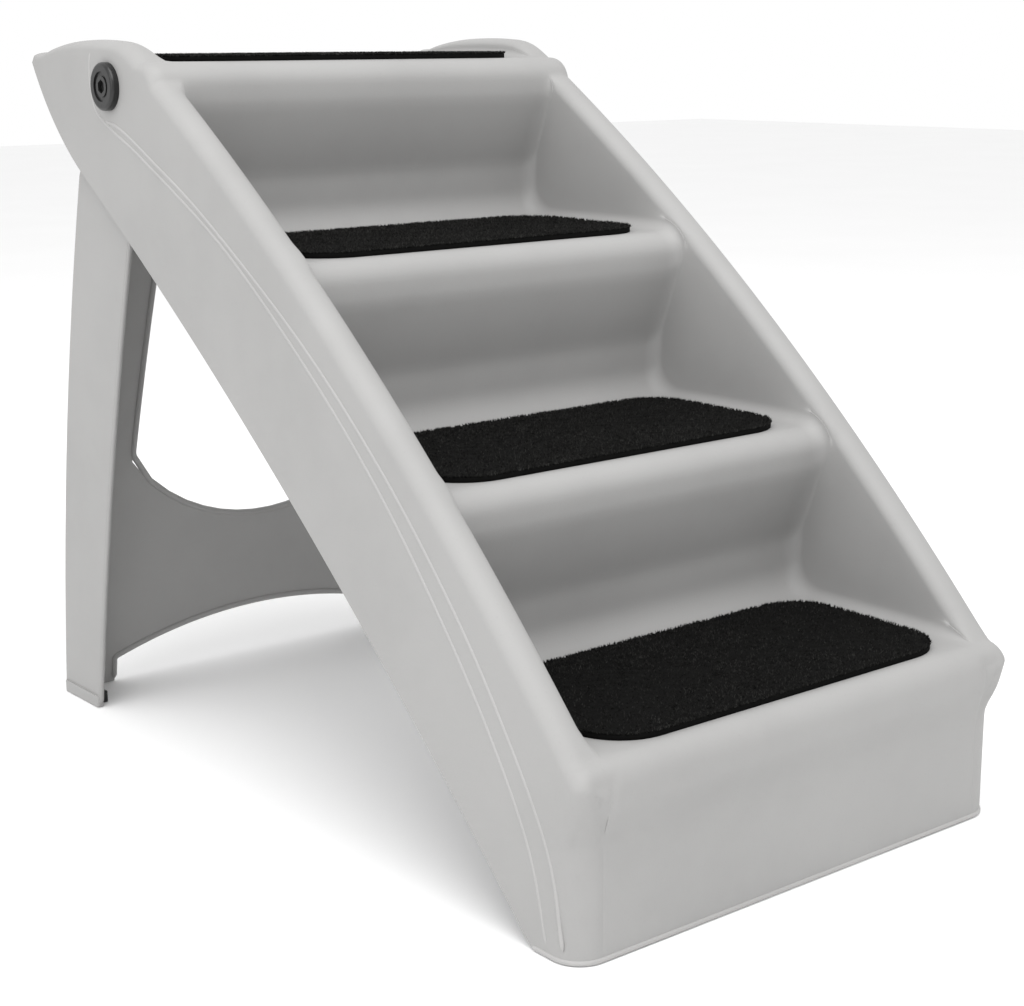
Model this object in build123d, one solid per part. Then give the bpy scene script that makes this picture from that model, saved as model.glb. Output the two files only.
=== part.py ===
"""Folding pet steps: a one-piece moulded stair with hollow side rails, and an H-shaped leg frame that swings on two
pivot bolts from its standing place behind the stair to flat under the treads.

Frame: +X to the right seen from the front, +Y to the back (the treads climb that way), +Z up. The origin is on the
floor, in the middle of the width and of the depth. All sizes are in millimetres.
"""
from build123d import *
import math
import os

os.makedirs("parts", exist_ok=True)

# ---- driving sizes -------------------------------------------------------------------------------------------------
BODY_WIDTH = 380.0        # over the two side rails
TREADS = 4
FIRST_TREAD_Z = 124.0     # top face of the lowest tread
RISE = 128.0              # tread to tread
RUN = 151.0               # tread to tread
WALL = 4.0                # moulded wall of the stair
RAIL_WIDTH = 24.0         # outside of one hollow side rail
RIDGE_ROUND = 9.0         # rounding along both top edges of a rail

MAT_FRONT_Y = 10.0        # front edge of the lowest mat, from the front face of the stair
MAT_DEPTH = 142.0
MAT_HALF_WIDTH = 153.0
MAT_FRONT_CORNER = 38.0
MAT_BACK_CORNER = 30.0
MAT_THICK = 5.0
MAT_GLUE = 0.6            # adhesive film under each mat
MAT_RECESS = 1.6          # the mat's seat is this deep in the tread
MAT_SEAT_GAP = 2.5        # seat outline outside the mat's

NOSE_OVERHANG = 18.0      # front of a nosing, forward of its mat
NOSE_DEPTH = 38.0         # height of the nosing roll
NOSE_ROUND = 17.0
RISER_BACK = 7.0          # a riser stands this far behind the next mat's front edge
COVE_ROUND = 20.0         # cove between a tread and the riser behind it

PLATFORM_DEPTH = 175.0    # top tread, from the front edge of its mat to the back
BACK_LIP = 26.0           # how far the platform's back lip hangs down

# Side lines, as (y, z), drawn for a climb of 453 by 508 and stretched to this one by climb().
RIDGE_LINE = [(4.0, 122.45), (226.0, 333.68), (475.0, 513.02)]
UNDER_LINE = [(38.86, 0.0), (287.0, 227.14), (556.0, 424.89)]
INNER_WALL_RAISE = 10.0   # the rails' inner walls stop this far inside the lower line
HOOK_TIP = (632.0, 508.0)
CROWN_TOP = (512.0, 523.0)

PIVOT = (511.5, 491.0)    # the leg frame's hinge line, as (y, z)
BOLT_SHANK = 6.0
BORE_CLEARANCE = 0.2      # the shank in the bore of each rail's outer wall
RUNNING_CLEARANCE = 0.07  # the shank in the leg and in the washer
PIVOT_HOLE = BOLT_SHANK + BORE_CLEARANCE
LEG_HOLE = BOLT_SHANK + RUNNING_CLEARANCE
WASHER_THICK = 2.0
WASHER_RADIUS = 15.0
BOLT_HEAD_RADIUS = 17.0
BOLT_HEAD_THICK = 6.0
BOLT_SOCKET = 5.0         # across-corners radius of the hexagon socket
BOLT_SOCKET_DEPTH = 3.0
NUT_RADIUS = 11.0
NUT_THICK = 6.0

LEG_WALL = 4.0
LEG_HEAD_CLEARANCE = 4.0  # between a leg's round head and the inside of the rail's crown
LEG_BACK = [(655.5, 0.0), (635.0, 166.0), (577.0, 425.0)]     # the leg's back line, foot to top, as (y, z)
LEG_FRONT = [(598.5, 0.0), (562.0, 179.0), (506.0, 382.0)]    # its front line
LEG_INNER_FOOT = 142.0    # half-width between the two feet at the floor
LEG_INNER_WAIST = 127.0   # half-width between the legs where the brace's top cut starts
LEG_INNER_TOP = 113.0     # half-width between the legs at their top
BRACE_WAIST_Z = 190.0
BRACE_CUT_Z = 128.0       # lowest point of the brace's top cut
ARCH_SIDE_Z = 21.0
ARCH_TOP_Z = 46.0
LEG_PLATE_TOP_Z = 372.0    # the plate stops here, so it clears the rails when folded
FOOT_PAD = (8.0, 38.0, 9.0)          # rubber strip inside each leg's foot
FRONT_PAD = (60.0, 8.0, 7.0)         # rubber strip behind the front face
FLANGE = 2.2              # lip along the floor edge of the stair
FLANGE_HEIGHT = 4.0
RIB_THICK = 3.0
RIB_X = (-100.0, 0.0, 100.0)
STOP_SIZE = (12.0, 14.0)  # block inside each rail that the standing leg rests against
PLAY = 0.3

climb_y = RUN * (TREADS - 1) / 453.0
climb_z = (FIRST_TREAD_Z + RISE * (TREADS - 1)) / 508.0


def climb(y, z):
    """A point drawn for the usual climb, moved to this stair's climb."""
    return y * climb_y, z * climb_z


def circle_through(points):
    """Centre and radius of the circle through three points."""
    (ya, za), (yb, zb), (yc, zc) = points
    turn = 2 * (ya * (zb - zc) + yb * (zc - za) + yc * (za - zb))
    squares = [y * y + z * z for y, z in points]
    cy = (squares[0] * (zb - zc) + squares[1] * (zc - za) + squares[2] * (za - zb)) / turn
    cz = (squares[0] * (yc - yb) + squares[1] * (ya - yc) + squares[2] * (yb - ya)) / turn
    return (cy, cz), math.hypot(ya - cy, za - cz)


RIDGE_CENTRE, RIDGE_RADIUS = circle_through([climb(*p) for p in RIDGE_LINE])
UNDER_CENTRE, UNDER_RADIUS = circle_through([climb(*p) for p in UNDER_LINE])
CROWN_START_Y = RIDGE_LINE[2][0] * climb_y
HOOK_START_Y = UNDER_LINE[2][0] * climb_y
TOP_PLATFORM_END = MAT_FRONT_Y + RUN * (TREADS - 1) + PLATFORM_DEPTH * climb_y
HOOK_TIP, CROWN_TOP, PIVOT = climb(*HOOK_TIP), climb(*CROWN_TOP), climb(*PIVOT)
LEG_BACK = [climb(*p) for p in LEG_BACK]
LEG_FRONT = [climb(*p) for p in LEG_FRONT]
LEG_PLATE_TOP_Z = LEG_PLATE_TOP_Z * climb_z
LEG_HEAD_RADIUS = CROWN_TOP[1] - PIVOT[1] - WALL - LEG_HEAD_CLEARANCE

outer_x = BODY_WIDTH / 2
inner_x = outer_x - RAIL_WIDTH
leg_outer_x = outer_x - WALL - WASHER_THICK - PLAY
front_y = MAT_FRONT_Y - NOSE_OVERHANG
depth_shift = -(front_y + LEG_BACK[0][0]) / 2


def mat_front(step):
    return MAT_FRONT_Y + RUN * step


def tread_z(step):
    return FIRST_TREAD_Z + RISE * step


def on_arc(centre, radius, y):
    """The height of the arc's upper half at y."""
    return centre[1] + math.sqrt(radius ** 2 - (y - centre[0]) ** 2)


def arc_between(centre, radius, y_from, y_to):
    """A three-point arc of that circle, from one y to another."""
    ys = (y_from, (y_from + y_to) / 2, y_to)
    return ThreePointArc(*[(y, on_arc(centre, radius, y)) for y in ys])


def side_extrude(face, x_from, x_to):
    """A face drawn in (y, z), made solid between two x."""
    lifted = Plane.YZ.offset(x_from) * face
    return extrude(lifted, amount=x_to - x_from, dir=(1, 0, 0))


def save(shape, name):
    shape = Pos(0, depth_shift, 0) * shape
    shape.label = name
    export_step(shape, f"parts/{name}.step")


# ---- the stair ------------------------------------------------------------------------------------------------------
def stair_corners():
    """The stair's outside line as corner points with their rounding, front foot to back lip."""
    points = [((0.0, 0.0), 0)]
    for step in range(TREADS):
        y, z = mat_front(step), tread_z(step)
        riser_y = y + RISER_BACK if step else 0.0
        points += [((riser_y, z - NOSE_DEPTH - 12), 16),
                   ((y - NOSE_OVERHANG, z - NOSE_DEPTH + 8), 11),
                   ((y - NOSE_OVERHANG, z), NOSE_ROUND)]
        if step < TREADS - 1:
            points.append(((y + RUN + RISER_BACK, z), COVE_ROUND))
    points.append(((TOP_PLATFORM_END, tread_z(TREADS - 1)), 10))
    points.append(((TOP_PLATFORM_END - 8, tread_z(TREADS - 1) - BACK_LIP), 0))
    return points


def outer_region(drop):
    """Everything under the stair's outside line, lowered square to the line by drop."""
    corners = stair_corners()
    line = [p for p, _ in corners]
    closed = line + [(TOP_PLATFORM_END - 8, -60.0), (0.0, -60.0)]
    face = make_face(Polyline(*closed, close=True))
    for point, radius in corners:
        if radius:
            vertex = min(face.vertices(), key=lambda v: (v.X - point[0]) ** 2 + (v.Y - point[1]) ** 2)
            face = fillet(vertex, radius)
            face = face.faces()[0] if hasattr(face, "faces") else face
    return offset(face, amount=-drop, kind=Kind.INTERSECTION) if drop else face


def step_sheet():
    """The treads, risers and nosings as one bent sheet."""
    trim = Pos(TOP_PLATFORM_END / 2 - 4, 400) * Rectangle(TOP_PLATFORM_END + 92, 800)
    inside = outer_region(WALL)
    inside = inside + Pos(TOP_PLATFORM_END / 2 - 4, -70) * Rectangle(TOP_PLATFORM_END - 8 - 2 * WALL, 60)
    sheet = (outer_region(0) - inside) & trim
    lip_end = TOP_PLATFORM_END - 8
    below_lip = tread_z(TREADS - 1) - BACK_LIP
    return sheet - Pos(lip_end - WALL / 2, below_lip / 2) * Rectangle(WALL + 12, below_lip)


def rail_outline(inset=0.0, opened=0.0):
    """The side rail seen from the side. Inset moves it inwards; opened moves the lower line and the floor outwards."""
    under_radius = UNDER_RADIUS + (-opened if opened else inset)
    ridge_radius = RIDGE_RADIUS - inset
    floor = -opened
    foot_y = UNDER_CENTRE[0] - math.sqrt(under_radius ** 2 - (floor - UNDER_CENTRE[1]) ** 2)
    tip = (HOOK_TIP[0] - 2.4 * inset, HOOK_TIP[1] - 0.6 * inset)
    top = (CROWN_TOP[0], CROWN_TOP[1] - inset)
    nose_y = front_y + inset
    under = arc_between(UNDER_CENTRE, under_radius, foot_y, HOOK_START_Y)
    ridge = arc_between(RIDGE_CENTRE, ridge_radius, CROWN_START_Y, 4.0 + inset)
    hook = TangentArc(under @ 1, tip, tangent=under % 1)
    shoulder = TangentArc(ridge @ 0, top, tangent=-(ridge % 0))
    crown = TangentArc(top, tip, tangent=(1, 0))
    front = Polyline(ridge @ 1, (nose_y, FIRST_TREAD_Z - NOSE_ROUND), (nose_y, FIRST_TREAD_Z - NOSE_DEPTH + 6),
                     (inset, FIRST_TREAD_Z - NOSE_DEPTH - 12), (inset, floor), (foot_y, floor))
    return make_face(under + hook + crown + shoulder + ridge + front)


def rail(side):
    """A hollow rail, open below: outer wall, rounded ridge and inner wall."""
    block = side_extrude(rail_outline(), inner_x, outer_x)
    long_edges = [e for e in block.edges() if e.length > 25 and abs(e.tangent_at(0.5).X) < 0.1]
    tops = [e for e in long_edges if e.center().Z > 0.75 * e.center().Y + 100]
    rounded = fillet(tops, RIDGE_ROUND)
    pocket = side_extrude(rail_outline(WALL, 2.0), inner_x + WALL, outer_x - WALL)
    keep_out = Pos(UNDER_CENTRE[0], UNDER_CENTRE[1]) * Circle(UNDER_RADIUS + INNER_WALL_RAISE)
    keep_out = keep_out & Pos(*climb(290, 210)) * Rectangle(660 * climb_y, 560 * climb_z)
    shortened = side_extrude(keep_out, inner_x - 1, inner_x + WALL + 1)
    bore = Pos(outer_x - WALL / 2, PIVOT[0], PIVOT[1]) * Rot(0, 90, 0) * Cylinder(PIVOT_HOLE, WALL + 2)
    made = rounded - pocket - shortened - bore + leg_stop()
    return made if side > 0 else mirror(made, about=Plane.YZ)


def leg_stop():
    """The block across a rail's hollow that the back of the standing leg rests against."""
    along = Vector(LEG_BACK[2][0] - head_back_point()[0], LEG_BACK[2][1] - head_back_point()[1]).normalized()
    square = Vector(-along.Y, along.X)
    start = Vector(*head_back_point()) + along * 40 + square * PLAY * 1.3
    thick, length = STOP_SIZE
    corners = [start, start + along * length, start + along * length + square * thick, start + square * thick]
    face = make_face(Polyline(*[(c.X, c.Y) for c in corners], close=True))
    return side_extrude(face, inner_x + WALL / 2, outer_x - WALL / 2)


def mat_outline(grow):
    """A mat seen from above, its front edge on y = 0 and grown outwards."""
    half, depth = MAT_HALF_WIDTH + grow, MAT_DEPTH + 2 * grow
    face = Pos(0, depth / 2 - grow) * Rectangle(2 * half, depth)
    front = face.vertices().sort_by(Axis.Y)[:2]
    face = fillet(front, MAT_FRONT_CORNER + grow)
    back = face.vertices().sort_by(Axis.Y)[-2:]
    return fillet(back, MAT_BACK_CORNER + grow)


def mat_solid(step, z_from, thick, grow=0.0):
    place = Pos(0, mat_front(step), tread_z(step) + z_from)
    return extrude(place * mat_outline(grow), amount=thick, dir=(0, 0, 1))


def stair_body():
    """The one moulding: bent sheet, rails, mat seats and the lip round the floor edge."""
    sheet = side_extrude(step_sheet(), -inner_x - WALL / 2, inner_x + WALL / 2)
    body = sheet + rail(1) + rail(-1)
    for x in RIB_X:
        for web in rib(x):
            body = body + web
    lip = Box(2 * outer_x - 30, FLANGE, FLANGE_HEIGHT, align=(Align.CENTER, Align.MAX, Align.MIN))
    body = body + lip
    for step in range(TREADS):
        body = body - mat_solid(step, -MAT_RECESS, MAT_RECESS + 5, MAT_SEAT_GAP)
    return body


# ---- leg frame ------------------------------------------------------------------------------------------------------
def head_back_point():
    """Where the leg's back line meets its round head."""
    return PIVOT[0] + LEG_HEAD_RADIUS * 0.94, PIVOT[1] + LEG_HEAD_RADIUS * 0.34


def leg_profile():
    """One leg seen from the side, from foot to the round head on the pivot."""
    back = ThreePointArc(*LEG_BACK)
    front = ThreePointArc(*reversed(LEG_FRONT))
    y, z = PIVOT
    head_back = Line(back @ 1, head_back_point())
    head = ThreePointArc(head_back @ 1, (y - 4, z + LEG_HEAD_RADIUS), (y - LEG_HEAD_RADIUS, z - 3))
    head_front = Line(head @ 1, front @ 0)
    return make_face(back + head_back + head + head_front + front + Line(front @ 1, back @ 0))


def brace_outline():
    """The H-shaped back plate seen from the front, as (x, z)."""
    span = leg_outer_x
    blank = Pos(0, LEG_PLATE_TOP_Z / 2) * Rectangle(2 * span, LEG_PLATE_TOP_Z)
    cut_radius = (LEG_INNER_WAIST ** 2 + (BRACE_WAIST_Z - BRACE_CUT_Z) ** 2) / (2 * (BRACE_WAIST_Z - BRACE_CUT_Z))
    bowl = Pos(0, BRACE_CUT_Z + cut_radius) * Circle(cut_radius)
    bowl = bowl & Pos(0, BRACE_WAIST_Z - 80) * Rectangle(2 * LEG_INNER_WAIST, 160)
    gate = make_face(Polyline((-LEG_INNER_WAIST, BRACE_WAIST_Z), (LEG_INNER_WAIST, BRACE_WAIST_Z),
                              (LEG_INNER_TOP, LEG_PLATE_TOP_Z + 1), (-LEG_INNER_TOP, LEG_PLATE_TOP_Z + 1),
                              close=True))
    arch_rise = ARCH_TOP_Z - ARCH_SIDE_Z
    arch_radius = (LEG_INNER_FOOT ** 2 + arch_rise ** 2) / (2 * arch_rise)
    arch = Pos(0, ARCH_TOP_Z - arch_radius) * Circle(arch_radius)
    arch = arch & Pos(0, 30) * Rectangle(2 * LEG_INNER_FOOT, 100)
    return blank - bowl - gate - arch


def leg_frame():
    """Back plate cut from the curved back of both legs, with a flange down each side."""
    profile = leg_profile()
    hole = Pos(0, PIVOT[0], PIVOT[1]) * Rot(0, 90, 0) * Cylinder(LEG_HOLE, 2 * BODY_WIDTH)
    left = side_extrude(profile, -leg_outer_x, -leg_outer_x + LEG_WALL)
    right = side_extrude(profile, leg_outer_x - LEG_WALL, leg_outer_x)
    shifted = Pos(-LEG_WALL, 0) * profile
    skin = side_extrude(profile - shifted, -leg_outer_x, leg_outer_x)
    stencil = extrude(Plane.XZ.offset(-700) * brace_outline(), amount=400, dir=(0, -1, 0))
    frame = (skin & stencil) + left + right
    return frame - hole


# ---- small parts ----------------------------------------------------------------------------------------------------
def on_pivot(shape, side, x_from):
    """Stands a shape drawn along +Z on the hinge line, growing outwards from x_from on that side."""
    return Pos(side * x_from, PIVOT[0], PIVOT[1]) * Rot(0, side * 90, 0) * shape


def pivot_bolt(side):
    shank_from = leg_outer_x - LEG_WALL - NUT_THICK + 1.0
    shank = Cylinder(BOLT_SHANK, outer_x - shank_from, align=(Align.CENTER, Align.CENTER, Align.MIN))
    head = Cylinder(BOLT_HEAD_RADIUS, BOLT_HEAD_THICK, align=(Align.CENTER, Align.CENTER, Align.MIN))
    head = fillet(head.edges().sort_by(Axis.Z)[-1], 2.5)
    dish = Pos(0, 0, BOLT_HEAD_THICK - 1.2) * Cylinder(10.5, 3, align=(Align.CENTER, Align.CENTER, Align.MIN))
    boss = Cylinder(7.5, BOLT_HEAD_THICK - 0.4, align=(Align.CENTER, Align.CENTER, Align.MIN))
    socket = Pos(0, 0, BOLT_HEAD_THICK - BOLT_SOCKET_DEPTH) * extrude(RegularPolygon(BOLT_SOCKET, 6), amount=5)
    head = head - dish + boss - socket
    return on_pivot(shank, side, shank_from) + on_pivot(head, side, outer_x)


def ring(outer, inner, thick):
    align = (Align.CENTER, Align.CENTER, Align.MIN)
    return Cylinder(outer, thick, align=align) - Cylinder(inner, thick, align=align)


def front_foot(side):
    """A rubber strip glued behind the floor edge of the front face."""
    block = Box(*FRONT_PAD, align=(Align.CENTER, Align.MIN, Align.MIN))
    return Pos(side * (outer_x - FRONT_PAD[0]), WALL, 0) * block


def rear_foot(side):
    """A rubber strip glued to the inside of one leg's flange, level with its foot."""
    x_mid = leg_outer_x - LEG_WALL - FOOT_PAD[0] / 2
    y_mid = (LEG_BACK[0][0] + LEG_FRONT[0][0]) / 2 - 2
    return Pos(side * x_mid, y_mid, 0) * Box(*FOOT_PAD, align=(Align.CENTER, Align.CENTER, Align.MIN))


def rib(x):
    """Stiffening webs under the treads, kept clear of the folded legs."""
    span = Pos(*climb(290, 280)) * Rectangle(530 * climb_y, 470 * climb_z)
    keep_out = Pos(UNDER_CENTRE[0], UNDER_CENTRE[1]) * Circle(UNDER_RADIUS + INNER_WALL_RAISE)
    web = (outer_region(WALL - 0.5) & span) - keep_out
    web = web - Pos(PIVOT[0] + 60, PIVOT[1] - 60) * Rectangle(120, 260)
    return [side_extrude(f, x - RIB_THICK / 2, x + RIB_THICK / 2) for f in web.faces() if f.area > 400]


# ---- write the pieces -----------------------------------------------------------------------------------------------
save(stair_body(), "stair_body")
save(leg_frame(), "leg_frame")
for number, step in enumerate(range(TREADS), 1):
    save(mat_solid(step, -MAT_RECESS, MAT_GLUE), f"mat_adhesive_{number}")
    save(mat_solid(step, -MAT_RECESS + MAT_GLUE, MAT_THICK), f"tread_mat_{number}")
for side, word in ((-1, "left"), (1, "right")):
    save(pivot_bolt(side), f"{word}_pivot_bolt")
    save(on_pivot(ring(WASHER_RADIUS, LEG_HOLE, WASHER_THICK), side, leg_outer_x + PLAY / 2), f"{word}_pivot_washer")
    save(on_pivot(ring(NUT_RADIUS, BOLT_SHANK, NUT_THICK), side, leg_outer_x - LEG_WALL - NUT_THICK - PLAY),
         f"{word}_pivot_nut")
    save(front_foot(side), f"{word}_front_foot")
    save(rear_foot(side), f"{word}_rear_foot")
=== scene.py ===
"""Looks for the folding pet steps. It is laid out as an add-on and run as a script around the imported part.

Lengths in the property groups are metres. Surfaces are worked out in millimetres in the plane of the
part's side, with y from the front face to the back and z up, and are moved to the part's own frame when
their mesh is made.
"""

import math

import bpy
import numpy as np
from bpy.props import FloatProperty, FloatVectorProperty, IntProperty, PointerProperty
from mathutils import Matrix, Vector


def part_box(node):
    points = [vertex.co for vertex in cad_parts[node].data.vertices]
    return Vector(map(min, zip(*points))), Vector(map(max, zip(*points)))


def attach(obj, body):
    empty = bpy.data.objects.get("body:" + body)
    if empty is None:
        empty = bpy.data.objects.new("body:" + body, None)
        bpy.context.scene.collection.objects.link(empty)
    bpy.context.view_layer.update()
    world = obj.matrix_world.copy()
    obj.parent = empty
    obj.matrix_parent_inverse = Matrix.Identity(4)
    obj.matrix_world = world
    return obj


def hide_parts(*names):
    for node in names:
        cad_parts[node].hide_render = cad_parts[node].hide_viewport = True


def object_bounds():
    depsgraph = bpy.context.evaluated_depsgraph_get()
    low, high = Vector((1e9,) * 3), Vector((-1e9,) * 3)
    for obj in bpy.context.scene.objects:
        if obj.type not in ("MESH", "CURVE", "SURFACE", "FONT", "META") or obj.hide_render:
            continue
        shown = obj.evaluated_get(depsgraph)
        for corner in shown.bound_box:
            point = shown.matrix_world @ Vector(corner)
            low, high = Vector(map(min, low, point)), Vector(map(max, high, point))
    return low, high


bl_info = {
    "name": "Folding Pet Steps",
    "version": (1, 0, 0),
    "blender": (4, 5, 0),
    "location": "3D View > Sidebar > Pet Steps",
    "description": "Builds the visible surfaces and finishes of folding pet steps",
    "category": "Object",
}

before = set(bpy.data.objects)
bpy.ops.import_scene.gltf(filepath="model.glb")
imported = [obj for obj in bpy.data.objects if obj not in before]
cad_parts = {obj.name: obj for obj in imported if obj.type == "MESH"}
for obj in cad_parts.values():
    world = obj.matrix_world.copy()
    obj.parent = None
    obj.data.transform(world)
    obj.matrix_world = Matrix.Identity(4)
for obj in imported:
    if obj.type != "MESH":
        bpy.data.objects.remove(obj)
CAD_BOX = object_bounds()
STAIR, LEGS = "stair", "legs"
NOSE = 8.0      # how far the lowest nosing stands out in front of the front face
CORNER = 20.0   # rounding in plan of the stair's front corners
FRONT_Y = 1000 * CAD_BOX[0][1] + NOSE    # the front face in the part's frame
HALF = 1000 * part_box("stair_body")[1][0]
rng = np.random.default_rng(7)


# ---- settings -----------------------------------------------------------------------------------
def length(name, default, description):
    return FloatProperty(name=name, description=description, default=default, min=0.0, unit="LENGTH",
                         precision=4)


def colour(name, default, description):
    return FloatVectorProperty(name=name, description=description, default=default, size=3, min=0.0, max=1.0,
                               subtype="COLOR")


class StairSettings(bpy.types.PropertyGroup):
    treads: IntProperty(name="Treads", description="How many treads the stair has", default=4, min=1, max=8)
    first: length("First tread", 0.124, "Height of the lowest tread")
    rise: length("Rise", 0.128, "Height from one tread to the next")
    run: length("Run", 0.151, "Depth from one tread to the next")
    rail: length("Rail width", 0.024, "Width of one side rail")
    ridge: length("Ridge rounding", 0.009, "Rounding along the top of a rail")
    cove: length("Side cove", 0.013, "Cove where a tread or riser meets a rail")
    nosing: length("Nosing rounding", 0.015, "Rounding at the front of a tread")
    wall: length("Wall", 0.0035, "Thickness of the moulding")
    line: length("Side line", 0.0015, "Radius of the raised lines on the sides")


class MatSettings(bpy.types.PropertyGroup):
    depth: length("Depth", 0.142, "Front to back")
    half_width: length("Half width", 0.153, "Middle to side")
    front_corner: length("Front corner", 0.038, "Corner rounding at the front")
    back_corner: length("Back corner", 0.030, "Corner rounding at the back")
    pile: length("Pile", 0.0020, "Height of the cut pile above its backing")
    tufts: IntProperty(name="Tufts", description="Tufts on one mat", default=15000, min=100, max=20000)


class FinishSettings(bpy.types.PropertyGroup):
    shell: colour("Moulding", (0.315, 0.312, 0.308), "Moulded stair and leg frame")
    pile: colour("Pile", (0.0085, 0.0084, 0.0080), "Mat pile")
    cap: colour("Bolt head", (0.0060, 0.0060, 0.0060), "Pivot bolts")
    rubber: colour("Feet", (0.018, 0.018, 0.018), "Rubber feet")
    steel: colour("Nuts", (0.55, 0.55, 0.56), "Plated nuts")


def mm(value):
    """A setting in metres, in millimetres."""
    return 1000.0 * value


# ---- lines in the side plane --------------------------------------------------------------------
def rounded(points, radii, spacing=0.8):
    """A line through corner points, with an arc of its radius at each inner corner, evenly sampled."""
    points = [np.array(p, float) for p in points]
    out = [points[0]]
    for before, corner, after, radius in zip(points, points[1:], points[2:], radii):
        a = (before - corner) / np.linalg.norm(before - corner)
        b = (after - corner) / np.linalg.norm(after - corner)
        half = 0.5 * math.acos(np.clip(a @ b, -1, 1))
        if radius <= 0 or half > 1.56:
            out.append(corner)
            continue
        middle = (a + b) / np.linalg.norm(a + b)
        centre = corner + middle * radius / math.sin(half)
        start = corner + a * radius / math.tan(half) - centre
        end = corner + b * radius / math.tan(half) - centre
        turn = math.atan2(start[0] * end[1] - start[1] * end[0], start @ end)
        for t in np.linspace(0, turn, 14):
            c, s = math.cos(t), math.sin(t)
            out.append(centre + np.array([c * start[0] - s * start[1], s * start[0] + c * start[1]]))
    out.append(points[-1])
    line = np.array(out)
    return even(line, max(2, int(along(line)[-1] / spacing)))


def along(line):
    """Length along a line at each of its points."""
    return np.concatenate([[0], np.cumsum(np.linalg.norm(np.diff(line, axis=0), axis=1))])


def even(line, count):
    """The line again, with that many points at even lengths."""
    at = along(line)
    want = np.linspace(0, at[-1], count)
    return np.stack([np.interp(want, at, line[:, i]) for i in range(line.shape[1])], 1)


def smooth_through(points, count):
    """A smooth curve through a few points: Catmull-Rom pieces, evenly sampled."""
    p = np.array(points, float)
    p = np.vstack([2 * p[0] - p[1], p, 2 * p[-1] - p[-2]])
    t = np.linspace(0, 1, 24, endpoint=False)[:, None]
    parts = []
    for a, b, c, d in zip(p, p[1:], p[2:], p[3:]):
        square, cube = 2 * a - 5 * b + 4 * c - d, 3 * b - a - 3 * c + d
        parts.append(0.5 * (2 * b + (c - a) * t + square * t ** 2 + cube * t ** 3))
    return even(np.vstack(parts + [p[-2:-1]]), count)


def smoothstep(low, high, x):
    """0 below low, 1 above high, and 3t^2 - 2t^3 between them."""
    t = np.clip((x - low) / (high - low), 0, 1)
    return t * t * (3 - 2 * t)


class Slope:
    """Turns (y, z) into (u, h): u climbs along the stair's slope and h stands square to it."""

    def __init__(self, run, rise):
        size = math.hypot(run, rise)
        self.c, self.s = run / size, rise / size

    def uh(self, y, z):
        return self.c * y + self.s * z, self.c * z - self.s * y

    def yz(self, u, h):
        return self.c * u - self.s * h, self.s * u + self.c * h

    def circle(self, centre, radius, u, side=1):
        """h of a circle's upper or lower half at u."""
        cu, ch = self.uh(*centre)
        return ch + side * np.sqrt(np.maximum(radius ** 2 - (u - cu) ** 2, 0))


# The side rail: its arcs as (centre y, centre z), radius, and the rest as points (y, z).
RIDGE_ARC = ((1662.0, -1400.0), 2251.0)
UNDER_ARC = ((2386.9, -2330.2), 3308.0)
HOOK_ARC = ((426.8, 619.4), 233.5)
HOOK_START = (556.0, 424.9)
TIP = (632.0, 508.0)
CROWN = [(470.0, 517.0), (490.0, 521.0), (527.0, 523.4), (568.0, 522.8), (600.0, 519.0), (620.0, 513.5), TIP]
PLATFORM_END = 618.0
LAST_RISER_U = 740.0      # past this, the steps are stretched along the slope to end at the rail's tip
CROWN_BLEND = 7.0         # over this gap the ridge passes smoothly into the crown
RAIL_FOOT = (54.0, 66.0)  # along the slope, where the rail rises out of the lowest nosing


def step_line(s):
    """Treads, risers and nosings in the side plane, as u and h of the slope."""
    slope = Slope(s.run, s.rise)
    points, radii = [(0.0, 0.0), (0.0, 74.0)], [16.0]
    for i in range(s.treads):
        z = mm(s.first + s.rise * i)
        nose = mm(s.run) * i - NOSE
        if i:
            low = z - mm(s.rise)
            points += [(nose + 27, low), (nose + 25, z - 84)]
            radii += [22.0, 30.0]
        points += [(nose + (1.2 if not i else 3.4), z - 29), (nose, z)]
        radii += [14.0, mm(s.nosing)]
    points.append((PLATFORM_END, z))
    line = rounded(points, radii)
    return slope.uh(line[:, 0], line[:, 1])


def rail_lines(s, u):
    """Heights at u of the steps, of the rail's ridge and of the rail's lower line."""
    slope = Slope(s.run, s.rise)
    us, hs = step_line(s)
    stretch = (us[-1] - LAST_RISER_U) / (slope.uh(*TIP)[0] - LAST_RISER_U)
    step_u = np.where(u < LAST_RISER_U, u, LAST_RISER_U + (u - LAST_RISER_U) * stretch)
    step_h = np.interp(step_u, us, hs)
    ridge = slope.circle(*RIDGE_ARC, u)
    crown_line = smooth_through(CROWN, 80)
    crown = np.interp(u, *slope.uh(crown_line[:, 0], crown_line[:, 1]), left=9e3)
    gap = np.clip(0.5 + 0.5 * (crown - ridge) / CROWN_BLEND, 0, 1)
    arc = crown * (1 - gap) + ridge * gap - CROWN_BLEND * gap * (1 - gap)
    ridge_h = step_h + smoothstep(*RAIL_FOOT, u) * np.maximum(arc - step_h, 0)
    floor = -slope.s / slope.c * u
    under = np.maximum(floor, slope.circle(*UNDER_ARC, u))
    hook_u = slope.uh(*HOOK_START)[0]
    under = np.where(u < hook_u, under, slope.circle(*HOOK_ARC, u, -1))
    return slope, step_u, step_h, ridge_h, under


# ---- meshes -------------------------------------------------------------------------------------
def quads(rows, cols, start=0, wrap=False):
    """Faces of a grid of rows by cols points; wrap joins its last column to its first."""
    r, c = np.meshgrid(np.arange(rows - 1), np.arange(cols if wrap else cols - 1), indexing="ij")
    d = (c + 1) % cols
    face = np.stack([r * cols + c, r * cols + d, (r + 1) * cols + d, (r + 1) * cols + c], -1)
    return face.reshape(-1, 4) + start


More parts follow.
